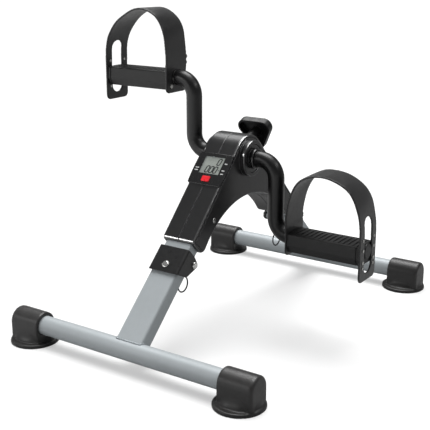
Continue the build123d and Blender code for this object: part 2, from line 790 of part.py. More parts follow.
# =================================================================== CONSOLE
PANEL_T, PANEL_BULGE, PANEL_CORNER_R = 2.0, 1.2, 2.4
CASE_DEPTH, CASE_WALL = 6.6, 1.2
LCD_W, LCD_LOW, LCD_HIGH = 31.0, 101.8, 128.2
LCD_MID, LCD_L = (LCD_LOW + LCD_HIGH) / 2, LCD_HIGH - LCD_LOW
BUTTON_AT, BUTTON_W, BUTTON_H, BUTTON_TOP = 93.6, 12.4, 8.3, 3.2
CELL_SPOT, CELL_R, CELL_T = (-8, on_slope(108)), 5.8, 3.1


def make_console_case():
    """Panel with slightly bowed sides on an open-backed box."""
    with BuildPart() as case:
        with BuildSketch(CONSOLE) as panel:
            with BuildLine():
                low, high = on_slope(PANEL_LOW), on_slope(PANEL_HIGH)
                bulge_x = PANEL_HALF + PANEL_BULGE
                Line((-PANEL_HALF, low), (PANEL_HALF, low))
                ThreePointArc((PANEL_HALF, low), (bulge_x, 0), (PANEL_HALF, high))
                Line((PANEL_HALF, high), (-PANEL_HALF, high))
                ThreePointArc((-PANEL_HALF, high), (-bulge_x, 0), (-PANEL_HALF, low))
            make_face()
            fillet(panel.vertices(), radius=PANEL_CORNER_R)
        extrude(amount=PANEL_T)
        fillet(case.edges().filter_by(at_height(CONSOLE, PANEL_T, 0.01)), radius=0.8)
        with BuildSketch(CONSOLE.offset(-CASE_DEPTH)):
            with Locations((0, on_slope(CASE_MID))):
                Rectangle(CASE_W, CASE_L)
        extrude(amount=CASE_DEPTH)
        with BuildSketch(CONSOLE.offset(-7)):
            with Locations((0, on_slope(CASE_MID))):
                Rectangle(CASE_W - 2 * CASE_WALL, CASE_L - 2 * CASE_WALL)
        extrude(amount=7.6, mode=Mode.SUBTRACT)
        # display and button windows
        with BuildSketch(CONSOLE.offset(-1)):
            with Locations((0, on_slope(LCD_MID))):
                Rectangle(LCD_W, LCD_L)
            with Locations((0, on_slope(BUTTON_AT))):
                RectangleRounded(BUTTON_W + 0.5, BUTTON_H + 0.5, 1.4)
        extrude(amount=5, mode=Mode.SUBTRACT)
        # lead outlet in the upper wall
        with BuildSketch(CONSOLE.offset(-5.2)):
            with Locations((SENSOR_X, on_slope(CASE_HIGH))):
                Rectangle(2.2, 6)
        extrude(amount=2.2, mode=Mode.SUBTRACT)
    return case.part


def make_console_slab(base, middle, width, length, thickness):
    """Flat plate parallel to the panel, its centre this far up the slope."""
    with BuildPart() as slab:
        with BuildSketch(CONSOLE.offset(base)):
            with Locations((0, on_slope(middle))):
                Rectangle(width, length)
        extrude(amount=thickness)
    return slab.part


def make_button_cell():
    with BuildPart() as cell:
        with BuildSketch(CONSOLE.offset(-6.55)):
            with Locations(CELL_SPOT):
                Circle(CELL_R)
        extrude(amount=CELL_T)
        fillet(cell.edges().filter_by(GeomType.CIRCLE), radius=0.4)
    return cell.part


def make_reset_button():
    """Button on a wider flange that stays under the panel."""
    with BuildPart() as button:
        with BuildSketch(CONSOLE.offset(-0.6)):
            with Locations((0, on_slope(BUTTON_AT))):
                RectangleRounded(BUTTON_W + 2.4, BUTTON_H + 1.4, 1.2)
        extrude(amount=1.15)
        with BuildSketch(CONSOLE.offset(0.4)):
            with Locations((0, on_slope(BUTTON_AT))):
                RectangleRounded(BUTTON_W, BUTTON_H, 1.3)
        extrude(amount=BUTTON_TOP - 0.4)
        fillet(button.edges().filter_by(at_height(CONSOLE, BUTTON_TOP, 0.01)), radius=0.7)
    return button.part


def make_reed_sensor():
    """Speed sensor block below the axle."""
    with BuildPart() as sensor:
        with BuildSketch(Plane.XY.offset(AXLE_Z - 21.5)):
            with Locations((SENSOR_X, 0)):
                Rectangle(4.2, 12)
        extrude(amount=6.4)
    return sensor.part


def make_sensor_lead():
    """Lead from the console's upper wall, round the front of the axle."""
    up, below = CASE_HIGH + 0.3, 4.1
    start_y = SLOPE_Y + up * SLOPE_COS + below * SLOPE_SIN
    start_z = SLOPE_Z + up * SLOPE_SIN - below * SLOPE_COS
    with BuildPart() as lead:
        with BuildLine(Plane.YZ.offset(SENSOR_X)) as path:
            FilletPolyline(
                (start_y, start_z),
                (start_y + 10 * SLOPE_COS, start_z + 10 * SLOPE_SIN),
                (-20.0, 239.6),
                (-19.6, 229.0),
                (-15.2, 216.6),
                (-6.8, AXLE_Z - 18.0),
                radius=2.5,
            )
        with BuildSketch(Plane(origin=path.line @ 0, z_dir=path.line % 0)):
            Circle(0.8)
        sweep()
    return lead.part


# name: base above the panel plane, middle up the slope, width, length, thickness
CONSOLE_SLABS = {
    "console_lens": (0.65, LCD_MID, LCD_W - 0.1, LCD_L - 0.1, 0.9),
    "lcd_panel": (-1.3, LCD_MID, LCD_W + 3, LCD_L + 2.4, 1.85),
    "console_board": (-3.3, CASE_MID, CASE_W - 4, CASE_L - 4, 1.2),
    "console_back": (-7.6, CASE_MID, CASE_W, CASE_L, 0.98),
}
save("console_case", make_console_case())
for name, sizes in CONSOLE_SLABS.items():
    save(name, make_console_slab(*sizes))
save("button_cell", make_button_cell())
save("reset_button", make_reset_button())
save("reed_sensor", make_reed_sensor())
save("sensor_lead", make_sensor_lead())

# ===================================================================== CRANK
ARM_LEFT, ARM_RIGHT, BEND_R = 66.0, 68.5, 24.0
COLLAR_START, COLLAR_W, COLLAR_R = 8.8, 3.6, 13.6
MAGNET_R, MAGNET_H = 1.5, 2.4
SPINDLE_R, PLUG_START, SPINDLE_END = 4.5, 91.2, 200.0
SPINDLE_NUT_START, SPINDLE_NUT_R, SPINDLE_NUT_H = 196.0, 6.2, 4.5


def make_crank_tube():
    """Bent tube, left arm up and right arm down."""
    with BuildPart() as crank:
        with BuildLine(Plane.XZ):
            FilletPolyline(
                (-CRANK_END, AXLE_Z + CRANK_R),
                (-ARM_LEFT, AXLE_Z + CRANK_R),
                (-ARM_LEFT, AXLE_Z),
                (ARM_RIGHT, AXLE_Z),
                (ARM_RIGHT, AXLE_Z - CRANK_R),
                (CRANK_END, AXLE_Z - CRANK_R),
                radius=BEND_R,
            )
        with BuildSketch(Plane(origin=(-CRANK_END, 0, AXLE_Z + CRANK_R), z_dir=RIGHT)):
            Circle(CRANK_TUBE_R)
            Circle(CRANK_BORE_R, mode=Mode.SUBTRACT)
        sweep()
    return crank.part


def make_magnet_collar():
    """Collar on the crank with a hole upwards for the magnet."""
    with BuildPart() as collar:
        with BuildSketch(AXLE_SIDE.offset(COLLAR_START)):
            Circle(COLLAR_R)
            Circle(CRANK_TUBE_R + 0.01, mode=Mode.SUBTRACT)
        extrude(amount=COLLAR_W)
        with BuildSketch(Plane(origin=(SENSOR_X, 0, AXLE_Z), x_dir=RIGHT, z_dir=(0, 0, 1))):
            Circle(MAGNET_R + 0.02)
        extrude(amount=20, mode=Mode.SUBTRACT)
    return collar.part


def make_speed_magnet():
    with BuildPart() as magnet:
        with BuildSketch(Plane.XY.offset(AXLE_Z + CRANK_TUBE_R + 0.2)):
            with Locations((SENSOR_X, 0)):
                Circle(MAGNET_R)
        extrude(amount=MAGNET_H)
    return magnet.part


def make_spindle():
    """Plug in the crank end, a flange against it, and the pedal spindle."""
    with BuildPart() as spindle:
        with BuildSketch(PEDAL_SIDE.offset(PLUG_START)):
            Circle(CRANK_BORE_R - 0.02)
        extrude(amount=CRANK_END - PLUG_START)
        with BuildSketch(PEDAL_SIDE.offset(CRANK_END)):
            Circle(CRANK_TUBE_R)
        extrude(amount=1.6)
        fillet(spindle.faces().sort_by(Axis.X)[-1].edges(), radius=0.8)
        with BuildSketch(PEDAL_SIDE.offset(CRANK_END + 1)):
            Circle(SPINDLE_R)
        extrude(amount=SPINDLE_END - CRANK_END - 1)
        chamfer(spindle.faces().sort_by(Axis.X)[-1].edges(), length=0.6)
    return spindle.part


def make_spindle_nut():
    with BuildPart() as nut:
        with BuildSketch(PEDAL_SIDE.offset(SPINDLE_NUT_START)):
            RegularPolygon(radius=SPINDLE_NUT_R, side_count=6)
            Circle(SPINDLE_R + 0.01, mode=Mode.SUBTRACT)
        extrude(amount=SPINDLE_NUT_H)
    return nut.part


save("crank_tube", make_crank_tube())
save("magnet_collar", make_magnet_collar())
save("speed_magnet", make_speed_magnet())
save("spindle_nuts", paired(make_spindle_nut(), Plane.YZ, LEFT_LIFT))

# ==================================================================== PEDALS
# heights below are measured from the pedal spindle
PEDAL_MID, PEDAL_L = (PEDAL_IN + PEDAL_OUT) / 2, PEDAL_OUT - PEDAL_IN
TOP_HALF, TOP_Z, CROWN_Z = 20.5, 9.0, 10.4
WAIST_HALF, WAIST_Z = 21.5, -6.8
BOTTOM_HALF, BOTTOM_Z = 16.8, -16.5
TREAD_PITCH, TREAD_GROOVES, TREAD_GROOVE_W = 7.0, 13, 2.8
BUSH_L, PEDAL_BUSH_R = 13.8, 6.2

# fixings: pegs and rivets through the outer plate, screws through the inner one
PEG_Y, PEG_Z = 15.4, (4.2, -11.8)
RIVET_Z = (17.5, -19.5)
PEG_SPOTS = [(y, z) for y in (-PEG_Y, PEG_Y) for z in PEG_Z]
RIVET_SPOTS = [(y, z) for y in (-PEG_Y, PEG_Y) for z in RIVET_Z]
PLATE_SCREWS = [(-13.0, -11.5), (13.0, -11.5)]
FIXING_R, FIXING_HOLE_R, FIXING_DEPTH = 1.28, 1.3, 7.0

STRAP_HALF_W, STRAP_T = 23.0, 2.5
STRAP_OUTER_END, STRAP_INNER_END = -38.5, -21.0
# outer face of the strap's arch: (x, height)
STRAP_OUTER = [
    (96.4, 4.0), (95.6, 24.0), (98.0, 48.0), (104.6, 68.5), (113.0, 81.3),
    (123.0, 89.4), (133.5, 93.7), (145.0, 95.0), (160.0, 92.4), (173.0, 86.5),
    (185.5, 78.2), (196.0, 66.8), (202.6, 53.2), (205.6, 37.5), (206.5, 12.0),
]
STRAP_FACE = STRAP_OUTER[-1][0]

# fixings as steps: start along X, radius, length
PEG_STEPS = [
    (PEDAL_OUT - FIXING_DEPTH, FIXING_R, FIXING_DEPTH + STRAP_FACE - PEDAL_OUT),
    (STRAP_FACE + 0.05, 2.2, 0.9),
    (STRAP_FACE, FIXING_R, 0.2),
]
RIVET_STEPS = [
    (203.3, 1.9, 0.66),
    (203.6, FIXING_R, 3.3),
    (STRAP_FACE + 0.04, 1.9, 0.66),
]
PLATE_SCREW_STEPS = [
    (96.3, FIXING_R, PEDAL_IN + FIXING_DEPTH - 96.3),
    (95.2, 2.8, 1.15),
]


def make_pedal_body():
    with BuildPart() as body:
        with BuildSketch(PEDAL_SIDE.offset(PEDAL_IN)) as section:
            with BuildLine():
                Line((-WAIST_HALF, WAIST_Z), (-TOP_HALF, TOP_Z))
                ThreePointArc((-TOP_HALF, TOP_Z), (0, CROWN_Z), (TOP_HALF, TOP_Z))
                Polyline(
                    (TOP_HALF, TOP_Z),
                    (WAIST_HALF, WAIST_Z),
                    (BOTTOM_HALF, BOTTOM_Z),
                    (-BOTTOM_HALF, BOTTOM_Z),
                    (-WAIST_HALF, WAIST_Z),
                )
            make_face()
            fillet(section.vertices(), radius=1.8)
        extrude(amount=PEDAL_L)
        # tread grooves across the top
        with BuildSketch(Plane(origin=(PEDAL_MID, 0, RIGHT_Z + 9.1))):
            with GridLocations(TREAD_PITCH, 1, TREAD_GROOVES, 1):
                Rectangle(TREAD_GROOVE_W, 37)
        extrude(amount=5, mode=Mode.SUBTRACT)
        # groove around the body beside the outer flange
        with BuildSketch(PEDAL_SIDE.offset(198.7)):
            Rectangle(60, 60)
            with BuildSketch(mode=Mode.SUBTRACT):
                add(section.sketch_local)
                offset(amount=-1.2, mode=Mode.REPLACE)
        extrude(amount=1.5, mode=Mode.SUBTRACT)
        # two hollows in the underside, towards the inner and outer ends
        with BuildSketch(Plane(origin=(PEDAL_MID, 0, RIGHT_Z + BOTTOM_Z))):
            with Locations((-23.5, 0), (23.5, 0)):
                Rectangle(40, 26)
        extrude(amount=8.5, mode=Mode.SUBTRACT)
        # spindle bore, the two bush seats, and the recess at the outer end
        for start, radius, length in (
            (PEDAL_IN - 1, 5.6, PEDAL_L + 2),
            (PEDAL_IN - 1, PEDAL_BUSH_R + 0.01, 15),
            (181.5, PEDAL_BUSH_R + 0.01, 14),
            (195.5, 6.6, 10),
        ):
            with BuildSketch(PEDAL_SIDE.offset(start)):
                Circle(radius)
            extrude(amount=length, mode=Mode.SUBTRACT)
        # peg holes in the outer end, screw holes in the inner end
        for start, spots, length in (
            (PEDAL_OUT - 8, PEG_SPOTS, 10),
            (PEDAL_IN - 1, PLATE_SCREWS, 9),
        ):
            with BuildSketch(PEDAL_SIDE.offset(start)):
                with Locations(*spots):
                    Circle(FIXING_HOLE_R)
            extrude(amount=length, mode=Mode.SUBTRACT)
    return body.part


def make_pedal_bushes():
    with BuildPart() as bushes:
        for start in (PEDAL_IN, 181.6):
            with BuildSketch(PEDAL_SIDE.offset(start)):
                Circle(PEDAL_BUSH_R)
                Circle(SPINDLE_R + 0.05, mode=Mode.SUBTRACT)
            extrude(amount=BUSH_L)
    return bushes.part


def inner_line(points, distance):
    """Points moved towards the inside of the arch, square to the outline."""
    moved = []
    last = len(points) - 1
    for i, (x, z) in enumerate(points):
        if i == 0:
            along_x, along_z = 0.0, 1.0
        elif i == last:
            along_x, along_z = 0.0, -1.0
        else:
            along_x = points[i + 1][0] - points[i - 1][0]
            along_z = points[i + 1][1] - points[i - 1][1]
        length = hypot(along_x, along_z)
        moved.append((x + along_z / length * distance, z - along_x / length * distance))
    return moved


def make_strap():
    """One band: an arch over the foot with a plate down each end."""
    outer, inner = STRAP_OUTER, inner_line(STRAP_OUTER, STRAP_T)
    with BuildPart() as strap:
        with BuildSketch(PEDAL_FRONT):
            with BuildLine():
                Spline(*outer, tangents=[(0, 1), (0, -1)])
                Polyline(
                    outer[-1],
                    (outer[-1][0], STRAP_OUTER_END),
                    (inner[-1][0], STRAP_OUTER_END),
                    inner[-1],
                )
                Spline(*inner[::-1], tangents=[(0, 1), (0, -1)])
                Polyline(
                    inner[0],
                    (inner[0][0], STRAP_INNER_END),
                    (outer[0][0], STRAP_INNER_END),
                    outer[0],
                )
            make_face()
        extrude(amount=STRAP_HALF_W, both=True)
        # rounded lower corners
        fillet(
            strap.edges().filter_by(Axis.X).filter_by(
                lambda e: e.center().Z < RIGHT_Z - 19
            ),
            radius=7,
        )
        # long slot, peg holes and rivet holes in the outer plate
        with BuildSketch(PEDAL_SIDE.offset(198)):
            with Locations((0, 8.7)):
                SlotOverall(75, 22, rotation=90)
            with Locations(*PEG_SPOTS):
                Circle(1.6)
            with Locations(*RIVET_SPOTS):
                Circle(1.4)
        extrude(amount=12, mode=Mode.SUBTRACT)
        # two rounded teeth on the rear edge of the inner leg
        with BuildSketch(PEDAL_SIDE.offset(95.95)):
            with Locations((STRAP_HALF_W - 0.6, 27.0)):
                Circle(3.2)
            with Locations((STRAP_HALF_W - 0.6, 19.0)):
                Circle(2.6)
        extrude(amount=2.0)
        # spindle hole and screw holes in the inner plate
        with BuildSketch(PEDAL_SIDE.offset(90)):
            Circle(8.0)
            with Locations(*PLATE_SCREWS):
                Circle(1.6)
        extrude(amount=9.5, mode=Mode.SUBTRACT)
    return strap.part


def make_strap_screws():
    """Pegs and rivets of the outer plate, then the inner plate's screws."""
    fixings = []
    for y in (-PEG_Y, PEG_Y):
        fixings += [(y, z, PEG_STEPS) for z in PEG_Z]
        fixings += [(y, z, RIVET_STEPS) for z in RIVET_Z]
    fixings += [(y, z, PLATE_SCREW_STEPS) for y, z in PLATE_SCREWS]
    with BuildPart() as screws:
        for y, z, steps in fixings:
            for start, radius, length in steps:
                with BuildSketch(PEDAL_SIDE.offset(start)):
                    with Locations((y, z)):
                        Circle(radius)
                extrude(amount=length)
    return screws.part


def make_end_cap():
    """Plug in the pedal's outer recess, under a wider round cap."""
    plug_r, plug_start = 6.5, 201.4
    with BuildPart() as cap:
        with BuildSketch(PEDAL_SIDE.offset(plug_start)):
            Circle(plug_r)
        extrude(amount=PEDAL_OUT - plug_start)
        with BuildSketch(PEDAL_SIDE.offset(PEDAL_OUT + 0.02)):
            Circle(10.0)
        extrude(amount=3.0)
        fillet(cap.faces().sort_by(Axis.X)[-1].edges(), radius=1.6)
        # joins the plug and the cap across the small gap between them
        with BuildSketch(PEDAL_SIDE.offset(PEDAL_OUT - 0.1)):
            Circle(plug_r)
        extrude(amount=0.4)
    return cap.part


# the left pedal is the right one mirrored, at the top of its turn
pedal_parts = {
    "spindle": make_spindle(),
    "pedal_body": make_pedal_body(),
    "pedal_bushes": make_pedal_bushes(),
    "strap": make_strap(),
    "strap_screws": make_strap_screws(),
    "end_cap": make_end_cap(),
}
for name, part in pedal_parts.items():
    save(f"right_{name}", part)
    save(f"left_{name}", mirrored(part, Plane.YZ, LEFT_LIFT))
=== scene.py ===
"""Looks of a folding pedal exerciser: surfaces, soft feet and straps, console print, welds.

The machine stands on z = 0 with x across (left is -x) and y from front (-) to rear (+).
The console panel slopes up towards the rear. Lengths are metres unless marked mm.
"""

import math
from fnmatch import fnmatchcase
from functools import cached_property

import bmesh
import bpy
import numpy as np
from mathutils import Matrix, Vector

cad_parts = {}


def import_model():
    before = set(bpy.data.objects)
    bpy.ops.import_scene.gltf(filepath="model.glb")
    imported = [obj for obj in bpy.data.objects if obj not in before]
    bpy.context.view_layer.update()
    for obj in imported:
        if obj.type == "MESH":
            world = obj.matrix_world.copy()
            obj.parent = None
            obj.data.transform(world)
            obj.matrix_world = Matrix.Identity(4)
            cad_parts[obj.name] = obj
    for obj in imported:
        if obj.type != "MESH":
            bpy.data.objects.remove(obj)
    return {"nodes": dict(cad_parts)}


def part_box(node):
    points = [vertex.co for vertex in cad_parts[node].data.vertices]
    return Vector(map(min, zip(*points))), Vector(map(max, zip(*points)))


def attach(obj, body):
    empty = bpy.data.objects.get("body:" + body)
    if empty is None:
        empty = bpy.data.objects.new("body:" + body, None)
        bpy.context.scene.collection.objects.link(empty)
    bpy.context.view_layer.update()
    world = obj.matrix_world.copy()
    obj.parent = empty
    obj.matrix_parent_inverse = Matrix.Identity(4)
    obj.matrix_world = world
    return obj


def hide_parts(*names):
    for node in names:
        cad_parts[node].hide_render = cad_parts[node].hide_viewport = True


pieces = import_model()["nodes"]
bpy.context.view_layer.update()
scene = bpy.context.scene

BASE_TUBE_Y = 233.35  # mm, from the middle to each floor tube
ENDS = (("front", -1), ("rear", 1))  # name and sign of y
SIDES = (("left", -1), ("right", 1))  # name and sign of x


# ------------------------------------------------------------ shader helpers
def srgb(*channels):
    """Linear RGBA from 0-255 sRGB channels."""
    linear = []
    for value in channels:
        value = value / 255.0
        linear.append(value / 12.92 if value <= 0.04045 else ((value + 0.055) / 1.055) ** 2.4)
    return (*linear, 1.0)


class Shader:
    """Builds the node tree of a material or world; inputs take a number, colour or socket."""

    def __init__(self, owner, output="OutputMaterial", coordinates="Object"):
        owner.use_nodes = True
        self.tree = owner.node_tree
        self.tree.nodes.clear()
        self.output = self.node(output)
        self.position = self.node("TexCoord").outputs[coordinates]

    @cached_property
    def normal(self):
        return self.node("NewGeometry").outputs["Normal"]

    def node(self, kind, inputs=None, **settings):
        node = self.tree.nodes.new("ShaderNode" + kind)
        for key, value in settings.items():
            setattr(node, key, value)
        for key, value in (inputs or {}).items():
            if isinstance(value, bpy.types.NodeSocket):
                self.tree.links.new(value, node.inputs[key])
            else:
                node.inputs[key].default_value = value
        return node

    def finish(self, shader_node):
        self.tree.links.new(shader_node.outputs[0], self.output.inputs["Surface"])

    def noise(self, scale, detail):
        inputs = {"Scale": scale, "Detail": detail, "Roughness": 0.55, "Vector": self.position}
        return self.node("TexNoise", inputs).outputs["Fac"]

    def cells(self, scale):
        inputs = {"Scale": scale, "Vector": self.position}
        return self.node("TexVoronoi", inputs).outputs["Distance"]

    def remap(self, value, span, to=(0.0, 1.0)):
        inputs = {"From Min": span[0], "From Max": span[1], "To Min": to[0], "To Max": to[1]}
        return self.node("MapRange", {**inputs, "Value": value}).outputs["Result"]

    def math(self, operation, *values, clamp=False):
        inputs = dict(enumerate(values))
        return self.node("Math", inputs, operation=operation, use_clamp=clamp).outputs[0]

    def multiply(self, first, second):
        return self.math("MULTIPLY", first, second)

    def mix(self, factor, first, second):
        inputs = {"Factor": factor, 6: first, 7: second}
        return self.node("Mix", inputs, data_type="RGBA").outputs[2]

    def dot(self, first, second):
        inputs = {0: first, 1: second}
        return self.node("VectorMath", inputs, operation="DOT_PRODUCT").outputs["Value"]

    def axes(self, vector):
        return self.node("SeparateXYZ", {0: vector}).outputs

    def bump(self, height, distance, **normal):
        inputs = {"Distance": distance, "Height": height, **normal}
        return self.node("Bump", inputs).outputs["Normal"]


# ------------------------------------------------------------------ surfaces
def painted_edge_highlight(s, colour, softened, tint, amount):
    """Painted edge highlight: tint the colour where the softened normal leaves the true one."""
    edge = s.remap(s.dot(softened, s.normal), span=(0.99, 0.75))
    patches = s.remap(s.noise(scale=160, detail=3), span=(0.35, 0.6), to=(0.35, 1.0))
    edge = s.math("MULTIPLY", edge, patches, clamp=True)
    return s.mix(s.multiply(edge, amount), colour, tint)


def painted_floor_shade(s, colour, shaded_colour, heights):
    """Painted shade: darken the zone close to the floor, fading out between the two heights."""
    low = s.remap(s.axes(s.position)["Z"], span=heights, to=(1.0, 0.0))
    patches = s.remap(s.noise(scale=50, detail=4), span=(0.3, 0.7), to=(0.7, 1.0))
    return s.mix(s.multiply(low, patches), colour, shaded_colour)


def settled_dust(s, colour, amount):
    """Fine pale dust on faces turned up."""
    upward = s.remap(s.axes(s.normal)["Z"], span=(0.2, 1.0), to=(0.0, amount))
    patches = s.remap(s.noise(scale=60, detail=5), span=(0.35, 0.7), to=(0.2, 1.0))
    return s.mix(s.multiply(upward, patches), colour, srgb(150, 148, 144))


def rim_coat(s, amount):
    """Polish where a side turns over, and on steep faces that look along y."""
    absolute = s.node("VectorMath", {0: s.normal}, operation="ABSOLUTE").outputs[0]
    facing = s.axes(absolute)
    across = s.math("ABSOLUTE", s.axes(s.position)["X"])
    off_seam = s.remap(across, span=(0.0185, 0.0205))
    turning = s.multiply(
        s.remap(facing["X"], span=(0.06, 0.2)),
        s.remap(facing["X"], span=(0.86, 0.97), to=(1.0, 0.0)),
    )
    steep = s.multiply(
        s.remap(facing["Z"], span=(0.5, 0.64), to=(1.0, 0.0)),
        s.remap(facing["Y"], span=(0.6, 0.75)),
    )
    patches = s.remap(
        s.noise(scale=130, detail=3), span=(0.3, 0.6), to=(amount * 0.75, amount)
    )
    return s.multiply(s.math("MAXIMUM", s.multiply(off_seam, turning), steep), patches)


def surface(
    name,
    base,
    rough,
    rough_spread=0.06,
    metallic=0.0,
    specular=0.5,
    grain=1400,  # scale of the fine texture
    grain_height=4e-5,
    cellular=False,  # grain of cells in place of noise
    wave_height=2e-5,
    variation=0.10,  # lightness change of the blotches, either way
    blotch_scale=14,
    edge_radius=0.0005,
    edge_highlight=None,  # painted edge highlight: its tint and its amount
    rim=0.0,  # strength of the polished rounding
    sheen=0.0,
    dust=0.0,
    floor_shade=None,  # painted shade near the floor: brightness factor, then heights where it starts to fade and ends
):
    """Principled surface with grain, blotches, uneven roughness and softened edges."""
    material = bpy.data.materials.new(name)
    s = Shader(material)
    softened = s.node("Bevel", {"Radius": edge_radius}, samples=4).outputs["Normal"]

    def shade(factor):
        return tuple(min(1, channel * factor) for channel in base[:3]) + (1,)

    large = s.noise(scale=blotch_scale, detail=3)
    medium = s.noise(scale=blotch_scale * 9, detail=4)
    blotch = s.remap(s.math("ADD", large, s.multiply(medium, 0.5)), span=(0.55, 0.95))
    colour = s.mix(blotch, shade(1 - variation), shade(1 + variation))
    # painted highlight along the edges
    if edge_highlight:
        colour = painted_edge_highlight(s, colour, softened, *edge_highlight)
    # painted shade low down, near the floor
    if floor_shade:
        colour = painted_floor_shade(s, colour, shade(floor_shade[0]), heights=floor_shade[1:])
    if dust:
        colour = settled_dust(s, colour, dust)

    texture = s.cells(grain) if cellular else s.noise(scale=grain, detail=2)
    grained = s.bump(texture, grain_height, Normal=softened)
    waved = s.bump(s.noise(scale=70, detail=2), wave_height, Normal=grained)
    rough_range = (max(0.02, rough - rough_spread), rough + rough_spread)
    inputs = {
        "Base Color": colour,
        "Roughness": s.remap(s.noise(scale=220, detail=4), span=(0.3, 0.7), to=rough_range),
        "Normal": waved,
        "Metallic": metallic,
        "Specular IOR Level": specular,
        "Coat Roughness": 0.12 if rim else 0.1,
        "Sheen Weight": sheen,
    }
    if rim:
        inputs["Coat Weight"] = rim_coat(s, rim)
        inputs["Coat IOR"] = 1.9
    s.finish(s.node("BsdfPrincipled", inputs))
    return material


def clear_window(name):
    """Transparent sheet with a faint, slightly uneven reflection."""
    material = bpy.data.materials.new(name)
    s = Shader(material)
    ripple = s.bump(s.noise(scale=200, detail=2), distance=1e-5)
    gloss = s.node(
        "BsdfGlossy", {"Roughness": 0.06, "Color": (0.9, 0.92, 0.93, 1), "Normal": ripple}
    )
    through = s.node("BsdfTransparent", {"Color": (0.95, 0.97, 0.96, 1)})
    fresnel = s.node("Fresnel", {"IOR": 1.35})
    patches = s.remap(s.noise(scale=90, detail=3), span=(0.3, 0.7), to=(0.7, 0.95))
    reflection = s.multiply(fresnel.outputs[0], patches)
    s.finish(
        s.node("MixShader", {0: reflection, 1: through.outputs[0], 2: gloss.outputs[0]})
    )
    return material


# the edge tints below are painted highlights, and the foot's darkening near the floor is painted
# shade
MATERIALS = {
    "frame": surface(
        "silver_powder_coat", srgb(168, 174, 177), rough=0.50, metallic=0.18, grain=1500,
        grain_height=8e-6, variation=0.035, edge_radius=0.0008,
        edge_highlight=(srgb(205, 208, 210), 0.35),
    ),
    "black_steel": surface(
        "black_powder_coat", srgb(20, 20, 21), rough=0.33, specular=0.55, grain=1700,
        grain_height=1e-5, variation=0.14, edge_radius=0.0009, edge_highlight=(srgb(80, 80, 82), 0.35),
    ),
    "crank": surface(
        "crank_satin_black", srgb(15, 15, 16), rough=0.33, rough_spread=0.02, specular=0.45,
        grain=1500, grain_height=4e-6, wave_height=6e-6, edge_radius=0.0006,
    ),
    "housing": surface(
        "housing_moulded_black", srgb(25, 25, 26), rough=0.31, rough_spread=0.025,
        specular=0.45, grain=2400, grain_height=5e-6, wave_height=1e-5, variation=0.08,
        rim=1.0, edge_radius=0.0012, edge_highlight=(srgb(135, 136, 138), 0.8),
    ),
    "boss": surface(
        "boss_gloss_black", srgb(15, 15, 16), rough=0.26, rough_spread=0.02, grain=1800,
        grain_height=4e-6, wave_height=6e-6, variation=0.08, rim=0.6, edge_radius=0.0008,
        edge_highlight=(srgb(90, 90, 92), 0.35),
    ),
    "gloss": surface(
        "console_black", srgb(20, 20, 21), rough=0.24, grain=2400, grain_height=5e-6,
        variation=0.08, edge_highlight=(srgb(80, 80, 82), 0.3),
    ),
    "knob": surface(
        "knob_black", srgb(22, 22, 23), rough=0.40, specular=0.3, grain=1800,
        grain_height=1.8e-5, cellular=True, edge_radius=0.0009, edge_highlight=(srgb(90, 90, 92), 0.35),
    ),
    "pedal": surface(
        "pedal_textured_black", srgb(33, 33, 33), rough=0.44, specular=0.36, grain=1300,
        grain_height=3e-5, cellular=True, edge_radius=0.0006, edge_highlight=(srgb(95, 96, 96), 0.3),
    ),
    "strap": surface(
        "strap_vinyl", srgb(22, 22, 23), rough=0.34, grain=1100, grain_height=2.2e-5,
        edge_radius=0.0006, edge_highlight=(srgb(80, 80, 80), 0.25), sheen=0.08,
    ),
    "foot": surface(
        "foot_rubber", srgb(40, 39, 39), rough=0.38, grain=900, grain_height=4.5e-5,
        variation=0.12, edge_radius=0.0009, edge_highlight=(srgb(62, 60, 58), 0.3), dust=0.05,
        floor_shade=(0.3, 0.003, 0.017),
    ),
    "chrome": surface(
        "bright_plated_steel", srgb(214, 214, 212), rough=0.16, metallic=1.0, grain=1600,
        grain_height=1e-5, variation=0.05, edge_radius=0.0003,
    ),
    "steel": surface(
        "zinc_plated_steel", srgb(150, 150, 148), rough=0.30, metallic=1.0, grain=1200,
        grain_height=2e-5, edge_radius=0.0003,
    ),
    "rivet": surface(
        "blackened_rivet", srgb(176, 176, 173), rough=0.24, metallic=1.0, grain=1200,
        grain_height=1e-5, variation=0.12, edge_radius=0.0002,
    ),
    "ring": surface(
        "ring_dark_steel", srgb(70, 70, 72), rough=0.28, metallic=1.0, grain=1200,
        grain_height=2e-5, variation=0.12, edge_radius=0.0002,
    ),
    "nylon": surface(
        "nylon", srgb(205, 200, 186), rough=0.5, specular=0.4, grain=900, grain_height=3e-5,
        variation=0.06,
    ),
    "board": surface(
        "circuit_board", srgb(28, 84, 52), rough=0.4, grain=600, variation=0.2,
    ),
    "red": surface(
        "red_button", srgb(236, 30, 44), rough=0.30, grain=1500, grain_height=2e-5,
        variation=0.08, edge_radius=0.0006, edge_highlight=(srgb(255, 120, 120), 0.5),
    ),
    "lcd": surface(
        "lcd_reflector", srgb(221, 219, 216), rough=0.45, specular=0.35, grain=3000,
        grain_height=1e-5, variation=0.05, blotch_scale=60,
    ),
    "ink": surface(
        "lcd_segment", srgb(9, 9, 9), rough=0.7, specular=0.1, grain=900, grain_height=1e-5,
        variation=0.15,
    ),
    "print": surface(
        "panel_print", srgb(205, 207, 206), rough=0.5, grain=900, grain_height=1e-5,
        variation=0.08,
    ),
    "weld": surface(
        "painted_weld", srgb(150, 156, 160), rough=0.36, metallic=0.3, grain=500,
        grain_height=2e-4, variation=0.05,
    ),
    "clear": clear_window("display_window"),
}

